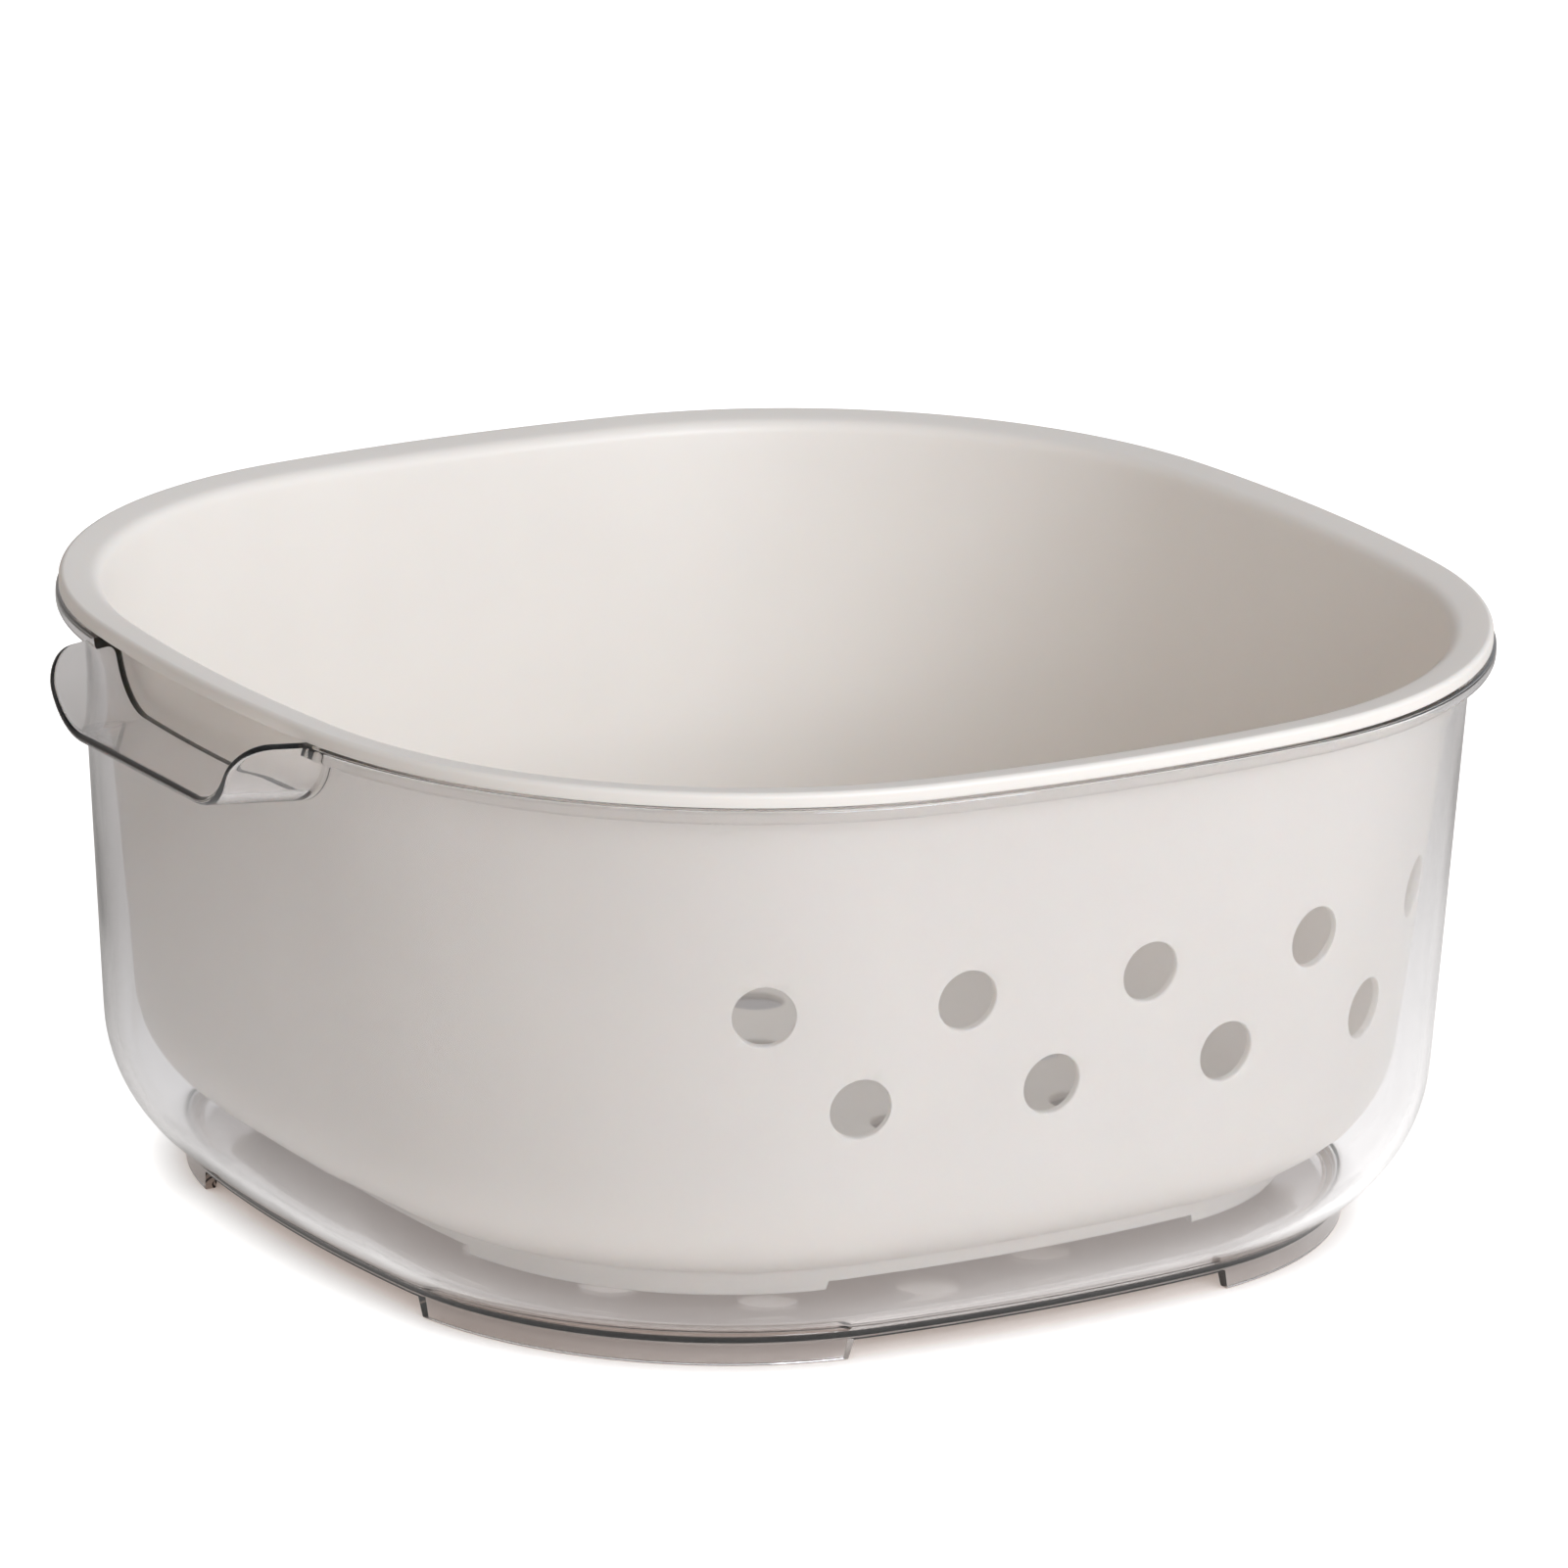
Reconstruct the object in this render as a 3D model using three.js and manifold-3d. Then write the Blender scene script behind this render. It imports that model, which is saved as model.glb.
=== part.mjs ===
// Double-layer colander bowl: a perforated basket that hangs by its flanged rim in a clear bowl.
// Millimetres, +Z up. The bowl stands on z = 0 and the origin is the bottom centre of the whole object.
import * as THREE from 'three';
import { mergeVertices } from 'three/addons/utils/BufferGeometryUtils.js';
import Module from 'manifold-3d';

const wasm = await Module();
wasm.setup();

// Plan outline, shared by every level of both mouldings: a square with bulging sides and round corners.
const lipHalf = 126; // half width across the bowl's lip, at the middle of a side
const cornerInset = 30.9; // how much smaller a corner's radius is than the half width
const sideBulge = 0.108; // half the angle that a side's arc turns through, radians
const sideSteps = 4;
const cornerSteps = 14;
const sectionSteps = 3; // of a small bend in a section; a full arc has twice as many
const mergeDistance = 1e-4; // corners closer than this are one corner of a solid

// Clear bowl
const lipTop = 112.8; // height of the lip's upper face above the table
const lipReach = 4.4; // lip beyond the wall
const lipThickness = 2.6;
const lipEdge = 0.8; // rounding of the lip's outer edges
const lipFillet = 2; // under the lip, between it and the wall
const lipLeadIn = 1.5; // rounding of the lip's inner edge, clear of the basket's flange
const bowlWall = 2;
const bowlDraft = 0.06; // outward lean of the wall, per unit of height
const bowlBottomRadius = 30;
const bowlFloor = 1.8; // underside of the floor above the table

// Ear: a tray through the wall and lip of one side, open outwards, for the fingers and for pouring
const earReach = 10; // beyond the lip
const earDrop = 12.6; // floor of the ear below the lip's upper face
const earFloorHalf = 21.5; // half the flat floor's length, at the free edge
const earFlare = 5.5; // how much longer each half is where the ear meets the wall
const earFillet = 12; // between the ear's floor and its ends
const earLean = 0.4; // outward lean of the ends, radians
const earWall = 1.6;
const earCorner = 6.5; // rounding of the ends' upper free corner, seen from the side
const earSteps = 10; // of each of the ear's round corners

// Colander basket
const sideGap = 0.7; // between the basket's wall and the bowl's, at the lip
const seatGap = 0.3; // between the rim's skirt and the lip it rests on
const rimInset = 0.6; // lip beyond the basket's rim
const rimHeight = 2.8; // crest of the rim above the skirt's lower edge
const rimCrest = 1; // radius over the crest
const rimSlope = 0.13; // rise of the flange from the wall to the crest, radians
const rimThickness = 1.7; // of the flange
const rimFillet = 2.4; // between the wall and the flange
const skirtThickness = 1.9;
const basketWall = 1.7;
const basketDraft = 0.115;
const basketBottomRadius = 25;
const basketClearance = 5.8; // basket's foot above the bowl's floor
const drainDiameter = 11.6;
const drainSides = 20;

// Drain holes in one wall: a zigzag of two rows, measured along the wall
const drainCount = 9;
const drainStep = 19.3; // along the wall, from an upper hole to the next lower one
const drainCentre = 11; // middle of the pattern from the middle of the side
const drainMiddle = 51.3; // middle of the two rows below the lip's upper face
const drainRows = 19; // between the rows
// Drain holes in the floor: rings around the centre
const floorDrainPitch = 30;
const floorDrainGrowth = 6; // holes that each ring has more than the one inside it
const floorDrainEdge = 14; // least distance from a ring's hole centres to where the floor turns up

// Feet: a ring under each floor, cut away along the middle of every side
const bowlFootInset = 15.9; // foot's outer face inside the wall, at the bottom radius
const bowlFootThickness = 2.3;
const bowlFootStep = 3.9; // height of the cut
const bowlFootGap = 83; // length of the cut
const basketFootInset = 20.4;
const basketFootThickness = 2;
const basketFootHeight = 4.5; // foot below the basket's floor
const basketFootStep = 1.8;
const basketFootGap = 80;
const footRoot = 0.7; // how far a foot ring runs up into its moulding
const footEndSlope = 0.25; // lean of the cut's ends, per unit of height
const footDraft = 0.08; // narrowing of a foot ring's faces, per unit of height

const overcut = 5; // how far cutters run past what they cut

const clearPlastic = new THREE.MeshStandardMaterial({
  color: 0xd2d2d5,
  roughness: 0.06,
  metalness: 0,
  transparent: true,
  opacity: 0.35,
});
const creamPlastic = new THREE.MeshStandardMaterial({ color: 0xebe6e1, roughness: 0.38, metalness: 0 });

// A level of the outline at half width a is the same core line, moved out by a - cornerInset.
const sideRun = cornerInset / (Math.sin(sideBulge) - Math.cos(sideBulge) + 1);
const cornerCentre = sideRun * Math.sin(sideBulge);
const quarterTurn = Math.PI / 2;

// Directions in which the outline faces, once around, from the middle of the +X side
function outlineDirections() {
  const directions = [];
  for (let quarter = 0; quarter < 4; quarter += 1) {
    const start = quarter * quarterTurn - sideBulge;
    const cornerTurn = quarterTurn - 2 * sideBulge;
    for (let i = 0; i < sideSteps; i += 1) {
      directions.push(start + (2 * sideBulge * i) / sideSteps);
    }
    for (let i = 0; i < cornerSteps; i += 1) {
      directions.push(start + 2 * sideBulge + (cornerTurn * i) / cornerSteps);
    }
  }
  return directions;
}

// Point of the outline with half width a that faces the given direction
function outlinePoint(half, direction) {
  const quarter = Math.floor((direction + sideBulge) / quarterTurn);
  const turned = direction - quarter * quarterTurn;
  const core = new THREE.Vector2(cornerCentre, cornerCentre);
  if (turned <= sideBulge) {
    core.set(cornerInset - sideRun + sideRun * Math.cos(turned), sideRun * Math.sin(turned));
  }
  core.x += (half - cornerInset) * Math.cos(turned);
  core.y += (half - cornerInset) * Math.sin(turned);
  return core.rotateAround(new THREE.Vector2(), quarter * quarterTurn);
}

// Direction that the outline faces at a distance along it from the middle of a side
function directionAlong(half, distance) {
  const cornerRadius = half - cornerInset;
  const sideLength = (cornerRadius + sideRun) * sideBulge;
  const past = Math.max(Math.abs(distance) - sideLength, 0);
  const onSide = Math.min(Math.abs(distance), sideLength);
  return Math.sign(distance) * (onSide / (cornerRadius + sideRun) + past / cornerRadius);
}

function solidFrom(geometry) {
  const bare = geometry.clone();
  bare.deleteAttribute('normal');
  bare.deleteAttribute('uv');
  const merged = mergeVertices(bare, mergeDistance);
  const mesh = new wasm.Mesh({
    numProp: 3,
    vertProperties: new Float32Array(merged.attributes.position.array),
    triVerts: new Uint32Array(merged.index.array),
  });
  return new wasm.Manifold(mesh);
}

function geometryFrom(solid) {
  const mesh = solid.getMesh();
  const geometry = new THREE.BufferGeometry();
  geometry.setAttribute('position', new THREE.BufferAttribute(new Float32Array(mesh.vertProperties), 3));
  geometry.setIndex(new THREE.BufferAttribute(new Uint32Array(mesh.triVerts), 1));
  geometry.computeVertexNormals();
  return geometry;
}

// Solid whose level at every height is the outline. The section holds (half width, height) points.
// It either starts and ends on the axis or, as a ring, closes on itself.
function loft(section, isRing = false) {
  const directions = outlineDirections();
  const levels = section.filter((point) => point.x > 0);
  const positions = [];
  const indices = [];
  const index = (level, i) => (level % levels.length) * directions.length + (i % directions.length);
  levels.forEach((level) => {
    directions.forEach((direction) => {
      const point = outlinePoint(level.x, direction);
      positions.push(point.x, point.y, level.y);
    });
  });
  for (let level = 0; level < levels.length - (isRing ? 0 : 1); level += 1) {
    directions.forEach((_, i) => {
      indices.push(index(level, i), index(level, i + 1), index(level + 1, i + 1));
      indices.push(index(level, i), index(level + 1, i + 1), index(level + 1, i));
    });
  }
  if (!isRing) {
    const bottom = positions.length / 3;
    const top = bottom + 1;
    positions.push(0, 0, section[0].y, 0, 0, section.at(-1).y);
    directions.forEach((_, i) => {
      indices.push(bottom, index(0, i + 1), index(0, i));
      indices.push(top, index(levels.length - 1, i), index(levels.length - 1, i + 1));
    });
  }
  const geometry = new THREE.BufferGeometry();
  geometry.setAttribute('position', new THREE.Float32BufferAttribute(positions, 3));
  geometry.setIndex(indices);
  return solidFrom(geometry);
}

// Floor, bottom radius and leaning wall as a path from the axis. lineHalf gives the wall at a height.
function startCup(lineHalf, draft, floor, radius) {
  const lean = Math.atan(draft);
  const centreZ = floor + radius;
  const centre = new THREE.Vector2(lineHalf(centreZ) - radius / Math.cos(lean), centreZ);
  const path = new THREE.Path();
  path.moveTo(0, floor);
  path.lineTo(centre.x, floor);
  path.absarc(centre.x, centre.y, radius, -quarterTurn, -lean, false);
  return { path, centre };
}

// Ring under a floor, from its resting face up into the moulding, cut away along each side's middle
function footRing(outerHalf, thickness, bottom, top, gap, step) {
  const taper = footDraft * (top - bottom);
  const ring = loft([
    new THREE.Vector2(outerHalf - thickness - taper, top),
    new THREE.Vector2(outerHalf - thickness, bottom),
    new THREE.Vector2(outerHalf, bottom),
    new THREE.Vector2(outerHalf + taper, top),
  ], true);
  const lower = gap / 2 + footEndSlope * overcut;
  const upper = gap / 2 - footEndSlope * step;
  const opening = new THREE.Shape([
    new THREE.Vector2(-lower, bottom - overcut),
    new THREE.Vector2(lower, bottom - overcut),
    new THREE.Vector2(upper, bottom + step),
    new THREE.Vector2(-upper, bottom + step),
  ]);
  const length = 2 * (outerHalf + taper + overcut);
  const along = new THREE.ExtrudeGeometry(opening, { depth: length, bevelEnabled: false });
  along.translate(0, 0, -length / 2).rotateX(quarterTurn);
  const across = along.clone().rotateZ(quarterTurn);
  return ring.subtract(solidFrom(along)).subtract(solidFrom(across));
}

const bowlWallTop = lipHalf - lipReach;
const bowlOutside = (z) => bowlWallTop + bowlDraft * (z - lipTop);
const bowlInside = (z) => bowlOutside(z) - bowlWall * Math.hypot(1, bowlDraft);

// Height of a bottom radius above a half width
function bottomRise(centre, radius, half) {
  return centre.y - Math.sqrt(radius ** 2 - (half - centre.x) ** 2);
}

function bowlBody() {
  const { path, centre } = startCup(bowlOutside, bowlDraft, bowlFloor, bowlBottomRadius);
  const under = lipTop - lipThickness;
  path.lineTo(bowlOutside(under - lipFillet), under - lipFillet);
  path.quadraticCurveTo(bowlOutside(under), under, bowlOutside(under) + lipFillet, under);
  path.lineTo(lipHalf - lipEdge, under);
  path.quadraticCurveTo(lipHalf, under, lipHalf, under + lipEdge);
  path.lineTo(lipHalf, lipTop - lipEdge);
  path.quadraticCurveTo(lipHalf, lipTop, lipHalf - lipEdge, lipTop);
  path.lineTo(0, lipTop);
  const footHalf = bowlOutside(centre.y) - bowlFootInset;
  const footTop = bottomRise(centre, bowlBottomRadius, footHalf) + footRoot;
  const foot = footRing(footHalf, bowlFootThickness, 0, footTop, bowlFootGap, bowlFootStep);
  return loft(path.getPoints(sectionSteps)).add(foot);
}

function bowlCavity() {
  const floor = bowlFloor + bowlWall;
  const { path } = startCup(bowlInside, bowlDraft, floor, bowlBottomRadius - bowlWall);
  const edge = lipTop - lipLeadIn;
  path.lineTo(bowlInside(edge), edge);
  path.quadraticCurveTo(bowlInside(lipTop), lipTop, bowlInside(lipTop) + lipLeadIn, lipTop);
  path.lineTo(bowlInside(lipTop) + lipLeadIn, lipTop + overcut);
  path.lineTo(0, lipTop + overcut);
  return loft(path.getPoints(sectionSteps));
}

// Trough seen from outside, as a prism along the ear: flat floor, round corners, ends that lean out.
// wall is how far its outline lies outside the ear's inner face.
function earTrough(wall, top, inner, outer) {
  const floor = lipTop - earDrop;
  const radius = earFillet + wall;
  const centreZ = floor + earFillet;
  const endTurn = -earLean;
  const tangentY = earFloorHalf + radius * Math.cos(endTurn);
  const tangentZ = centreZ + radius * Math.sin(endTurn);
  const topY = tangentY + Math.tan(earLean) * (top - tangentZ);
  const shape = new THREE.Shape();
  shape.moveTo(-earFloorHalf, floor - wall);
  shape.lineTo(earFloorHalf, floor - wall);
  shape.absarc(earFloorHalf, centreZ, radius, -quarterTurn, endTurn, false);
  shape.lineTo(topY, top);
  shape.lineTo(-topY, top);
  shape.absarc(-earFloorHalf, centreZ, radius, Math.PI - endTurn, Math.PI + quarterTurn, false);
  const prism = new THREE.ExtrudeGeometry(shape, {
    depth: outer - inner,
    curveSegments: earSteps,
    bevelEnabled: false,
  });
  // Stands the prism along -X with its outline in YZ, then spreads its halves towards the wall.
  prism.rotateX(quarterTurn).rotateZ(-quarterTurn).translate(-inner, 0, 0);
  const freeEdge = lipHalf + earReach;
  const spread = earFlare / (freeEdge - bowlInside(floor));
  const position = prism.attributes.position;
  for (let i = 0; i < position.count; i += 1) {
    const y = position.getY(i);
    position.setY(i, y + Math.sign(y) * spread * (freeEdge + position.getX(i)));
  }
  return solidFrom(prism);
}

// Side view of the ear: it ends at the free edge, with a round upper corner
function earSide(inner) {
  const freeEdge = lipHalf + earReach;
  const low = lipTop - earDrop - earWall - overcut;
  const shape = new THREE.Shape();
  shape.moveTo(-inner, low);
  shape.lineTo(-inner, lipTop);
  shape.lineTo(-freeEdge + earCorner, lipTop);
  shape.absarc(-freeEdge + earCorner, lipTop - earCorner, earCorner, quarterTurn, Math.PI, false);
  shape.lineTo(-freeEdge, low);
  const length = 2 * (earFloorHalf + earFlare + earFillet + earWall + earDrop + overcut);
  const plate = new THREE.ExtrudeGeometry(shape, {
    depth: length,
    curveSegments: earSteps,
    bevelEnabled: false,
  });
  plate.translate(0, 0, -length / 2).rotateX(quarterTurn);
  return solidFrom(plate);
}

function outerBowl() {
  const inner = bowlInside(lipTop) - earWall - overcut;
  const freeEdge = lipHalf + earReach;
  const ear = earTrough(earWall, lipTop, inner, freeEdge).intersect(earSide(inner));
  const opening = earTrough(0, lipTop + overcut, inner - overcut, freeEdge + overcut);
  return bowlBody().add(ear).subtract(bowlCavity()).subtract(opening);
}

const basketWallTop = bowlInside(lipTop) - sideGap;
const basketOutside = (z) => basketWallTop + basketDraft * (z - lipTop);
const basketInside = (z) => basketOutside(z) - basketWall * Math.hypot(1, basketDraft);
const basketFoot = bowlFloor + bowlWall + basketClearance;
const basketFloor = basketFoot + basketFootHeight;

// Height where a face of the basket's wall meets the flange's line through the given point
function meetingHeight(wallHalf, linePoint) {
  const slope = Math.tan(rimSlope);
  return (linePoint.y + slope * (wallHalf(0) - linePoint.x)) / (1 - slope * basketDraft);
}

// Wall, flanged rim with its skirt, and back down inside to the floor
function basketBody() {
  const rimHalf = lipHalf - rimInset;
  const skirtBottom = lipTop + seatGap;
  const crestCentre = new THREE.Vector2(rimHalf - rimCrest, skirtBottom + rimHeight - rimCrest);
  const alongFlange = new THREE.Vector2(Math.cos(rimSlope), Math.sin(rimSlope));
  const acrossFlange = new THREE.Vector2(-alongFlange.y, alongFlange.x);
  const flangeTop = crestCentre.clone().addScaledVector(acrossFlange, rimCrest);
  const flangeUnder = flangeTop.clone().addScaledVector(acrossFlange, -rimThickness);
  const outerBend = meetingHeight(basketOutside, flangeUnder);
  const innerBend = meetingHeight(basketInside, flangeTop);
  const skirtInner = rimHalf - skirtThickness;
  const skirtInnerTop = flangeUnder.y + Math.tan(rimSlope) * (skirtInner - flangeUnder.x);

  const { path, centre } = startCup(basketOutside, basketDraft, basketFloor, basketBottomRadius);
  const flangeAt = (bend, half) => half(bend) + rimFillet * alongFlange.x;
  const flangeRise = rimFillet * alongFlange.y;
  path.lineTo(basketOutside(outerBend - rimFillet), outerBend - rimFillet);
  path.quadraticCurveTo(
    basketOutside(outerBend), outerBend, flangeAt(outerBend, basketOutside), outerBend + flangeRise,
  );
  path.lineTo(skirtInner, skirtInnerTop);
  path.lineTo(skirtInner, skirtBottom);
  path.lineTo(rimHalf, skirtBottom);
  path.absarc(crestCentre.x, crestCentre.y, rimCrest, 0, quarterTurn + rimSlope, false);
  path.lineTo(flangeAt(innerBend, basketInside), innerBend + flangeRise);
  path.quadraticCurveTo(
    basketInside(innerBend), innerBend, basketInside(innerBend - rimFillet), innerBend - rimFillet,
  );
  const floor = basketFloor + basketWall;
  const inside = startCup(basketInside, basketDraft, floor, basketBottomRadius - basketWall);
  const section = path.getPoints(sectionSteps).concat(inside.path.getPoints(sectionSteps).reverse());

  const footHalf = basketOutside(centre.y) - basketFootInset;
  const footTop = bottomRise(centre, basketBottomRadius, footHalf) + footRoot;
  const foot = footRing(footHalf, basketFootThickness, basketFoot, footTop, basketFootGap, basketFootStep);
  return { solid: loft(section).add(foot), flatHalf: centre.x };
}

function drainCutter(length) {
  const radius = drainDiameter / 2;
  return new THREE.CylinderGeometry(radius, radius, length, drainSides);
}

// Zigzag of holes through the wall of the -Y side
function wallDrains() {
  const cutters = [];
  for (let i = 0; i < drainCount; i += 1) {
    const row = i % 2 === 0 ? drainRows / 2 : -drainRows / 2;
    const z = lipTop - drainMiddle + row;
    const along = drainCentre + drainStep * (i - (drainCount - 1) / 2);
    const facing = directionAlong(basketOutside(z), along) - quarterTurn;
    const place = outlinePoint(basketOutside(z), facing);
    const cutter = drainCutter(2 * (basketWall + overcut));
    cutter.rotateZ(facing - quarterTurn).translate(place.x, place.y, z);
    cutters.push(solidFrom(cutter));
  }
  return cutters;
}

// Rings of holes through the floor, as many rings as the flat floor holds
function floorDrains(flatHalf) {
  const cutters = [];
  const rings = Math.floor((flatHalf - floorDrainEdge) / floorDrainPitch);
  for (let ring = 0; ring <= rings; ring += 1) {
    const count = Math.max(floorDrainGrowth * ring, 1);
    for (let i = 0; i < count; i += 1) {
      const turn = (2 * Math.PI * i) / count;
      const radius = ring * floorDrainPitch;
      const cutter = drainCutter(2 * (basketWall + overcut)).rotateX(quarterTurn);
      cutter.translate(radius * Math.cos(turn), radius * Math.sin(turn), basketFloor);
      cutters.push(solidFrom(cutter));
    }
  }
  return cutters;
}

function colanderBasket() {
  const { solid, flatHalf } = basketBody();
  const cutters = wallDrains().concat(floorDrains(flatHalf));
  return cutters.reduce((body, cutter) => body.subtract(cutter), solid);
}

function piece(name, solid, material) {
  const mesh = new THREE.Mesh(geometryFrom(solid), material);
  mesh.name = name;
  return mesh;
}

// The bowl's axis stands off the origin by half of what the ear adds to the length.
const colanderBowl = new THREE.Group();
colanderBowl.add(piece('outer_bowl', outerBowl(), clearPlastic));
colanderBowl.add(piece('colander_basket', colanderBasket(), creamPlastic));
colanderBowl.position.x = earReach / 2;

export default colanderBowl;
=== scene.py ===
# %% [markdown]
# # A double-layer colander bowl
# Two plastic mouldings nest here: a clear bowl with an open grip ear, and an opaque basket that
# hangs in it by its rim. The CAD part already has their sizes. This lesson draws both again with
# finer curves and rounded edges, gives them their plastics and sets up a small photo studio.

import math

import bmesh
import bpy
from mathutils import Matrix, Vector


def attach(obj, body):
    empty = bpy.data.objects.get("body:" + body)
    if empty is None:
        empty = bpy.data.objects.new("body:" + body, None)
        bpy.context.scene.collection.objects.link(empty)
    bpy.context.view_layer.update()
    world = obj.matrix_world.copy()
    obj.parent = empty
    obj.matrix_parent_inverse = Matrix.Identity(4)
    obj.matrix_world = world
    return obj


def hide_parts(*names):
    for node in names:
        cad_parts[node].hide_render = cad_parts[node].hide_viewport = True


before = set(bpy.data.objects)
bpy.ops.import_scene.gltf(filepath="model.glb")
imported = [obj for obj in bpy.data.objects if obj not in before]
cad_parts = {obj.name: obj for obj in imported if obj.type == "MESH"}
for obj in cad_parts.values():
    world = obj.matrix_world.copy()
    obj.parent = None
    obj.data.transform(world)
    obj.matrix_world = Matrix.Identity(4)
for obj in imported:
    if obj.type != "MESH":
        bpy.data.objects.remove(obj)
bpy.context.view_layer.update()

# %% [markdown]
# ## The outline that every level shares
# Seen from above, both mouldings are squares with bulging sides and round corners. Each level is the
# same core line moved outwards, so a wall keeps its thickness all the way round. An outline is
# sampled by the direction it faces, which puts more points on the tight corners.

# %% Outline
MM = 0.001
CORNER_INSET = 30.9  # how much smaller a corner's radius is than the half width
SIDE_BULGE = 0.108  # half the turn of a side's arc, radians
SIDE_STEPS = 24
CORNER_STEPS = 44
QUARTER = math.pi / 2
SIDE_RUN = CORNER_INSET / (math.sin(SIDE_BULGE) - math.cos(SIDE_BULGE) + 1)
CORNER_CENTRE = SIDE_RUN * math.sin(SIDE_BULGE)
AXIS_X = 5  # the bowl's axis: the ear makes the part longer on one side only


def outline_point(half, direction):
    quarter = math.floor((direction + SIDE_BULGE) / QUARTER)
    turned = direction - quarter * QUARTER
    core = Vector((CORNER_CENTRE, CORNER_CENTRE))
    if turned <= SIDE_BULGE:
        core.x = CORNER_INSET - SIDE_RUN + SIDE_RUN * math.cos(turned)
        core.y = SIDE_RUN * math.sin(turned)
    core += (half - CORNER_INSET) * Vector((math.cos(turned), math.sin(turned)))
    core.rotate(Matrix.Rotation(quarter * QUARTER, 2))
    return Vector((core.x + AXIS_X, core.y))


def outline_directions():
    corner = QUARTER - 2 * SIDE_BULGE
    directions = []
    for quarter in range(4):
        start = quarter * QUARTER - SIDE_BULGE
        directions += [start + 2 * SIDE_BULGE * i / SIDE_STEPS for i in range(SIDE_STEPS)]
        start += 2 * SIDE_BULGE
        directions += [start + corner * i / CORNER_STEPS for i in range(CORNER_STEPS)]
    return directions


DIRECTIONS = outline_directions()
print("points in one outline:", len(DIRECTIONS))

# %% [markdown]
# ## From a section to a solid
# A mould maker draws the section of a wall and turns it round the part. The loft below does the same:
# a list of (half width, height) points becomes one outline each, and quads join the outlines. Arcs
# and bends get enough points that no facet shows in a reflection.

# %% Loft and section helpers
def new_object(name, points, faces):
    mesh = bpy.data.meshes.new(name)
    mesh.from_pydata([MM * Vector(point) for point in points], [], faces)
    shape = bmesh.new()
    shape.from_mesh(mesh)
    bmesh.ops.recalc_face_normals(shape, faces=shape.faces)
    shape.to_mesh(mesh)
    shape.free()
    made = bpy.data.objects.new(name, mesh)
    bpy.context.collection.objects.link(made)
    return made


def line(start, end, steps):
    return [Vector(start).lerp(Vector(end), i / steps) for i in range(steps)]


def arc(centre, radius, start, end, steps):
    turns = [start + (end - start) * i / steps for i in range(steps + 1)]
    return [Vector(centre) + radius * Vector((math.cos(t), math.sin(t))) for t in turns]


def bend(start, corner, end, steps):
    start, corner, end = Vector(start), Vector(corner), Vector(end)
    shares = [i / steps for i in range(steps + 1)]
    return [start.lerp(corner, s).lerp(corner.lerp(end, s), s) for s in shares]


def loft(name, section, is_ring=False):
    count, levels = len(DIRECTIONS), len(section)
    points, faces = [], []
    for half, height in section:
        points += [(*outline_point(half, direction), height) for direction in DIRECTIONS]
    for level in range(levels if is_ring else levels - 1):
        above = (level + 1) % levels * count
        for i in range(count):
            j = (i + 1) % count
            faces.append((level * count + i, level * count + j, above + j, above + i))
    if not is_ring:
        points += [(AXIS_X, 0, section[0][1]), (AXIS_X, 0, section[-1][1])]
        bottom, top, last = len(points) - 2, len(points) - 1, (levels - 1) * count
        for i in range(count):
            j = (i + 1) % count
            faces += [(bottom, j, i), (top, last + i, last + j)]
    return new_object(name, points, faces)


print("helpers: line, arc, bend, loft")

# %% [markdown]
# ## Joining and cutting
# A toolmaker adds and removes steel, and a modeller joins and cuts closed solids. The solver used here
# keeps closed solids closed. A cut can leave points less than a micrometre apart, and welding them
# keeps the mesh free of slivers.

# %% Joining and cutting
WELD = 0.001


def combine(target, other, operation):
    cut = target.modifiers.new(operation, "BOOLEAN")
    cut.object = other
    cut.operation = operation
    cut.solver = "MANIFOLD"
    shaped = target.evaluated_get(bpy.context.evaluated_depsgraph_get())
    mesh = bpy.data.meshes.new_from_object(shaped)
    weld = bmesh.new()
    weld.from_mesh(mesh)
    bmesh.ops.remove_doubles(weld, verts=weld.verts, dist=WELD * MM)
    weld.to_mesh(mesh)
    weld.free()
    target.modifiers.clear()
    target.data = mesh
    bpy.data.objects.remove(other)
    print(target.name, operation.lower(), len(mesh.polygons), "faces")


# %% [markdown]
# ## The clear bowl's body and cavity
# A draft of a few degrees lets the moulding leave its steel mould. The bottom turns up in a wide
# radius, and the lip turns outwards with its edges broken, because a sharp plastic edge would cut
# the hand and chip. Body and cavity are two lofts, and their difference is the wall.

# %% Bowl body and cavity
LIP_HALF, LIP_TOP, LIP_REACH, LIP_THICKNESS = 126, 112.8, 4.4, 2.6
LIP_EDGE, LIP_FILLET, LIP_LEAD_IN = 0.8, 2, 1.5
BOWL_WALL, BOWL_DRAFT, BOWL_RADIUS, BOWL_FLOOR = 2, 0.06, 30, 1.8
OVERCUT = 5


def bowl_outside(height):
    return LIP_HALF - LIP_REACH + BOWL_DRAFT * (height - LIP_TOP)


def bowl_inside(height):
    return bowl_outside(height) - BOWL_WALL * math.hypot(1, BOWL_DRAFT)


def cup_start(wall, draft, floor, radius):
    lean = math.atan(draft)
    centre = Vector((wall(floor + radius) - radius / math.cos(lean), floor + radius))
    brace = Vector((centre.x - radius / 10, floor))
    return [brace, *arc(centre, radius, -QUARTER, -lean, 24)], centre


def on_wall(wall, height):
    return wall(height), height


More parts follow.
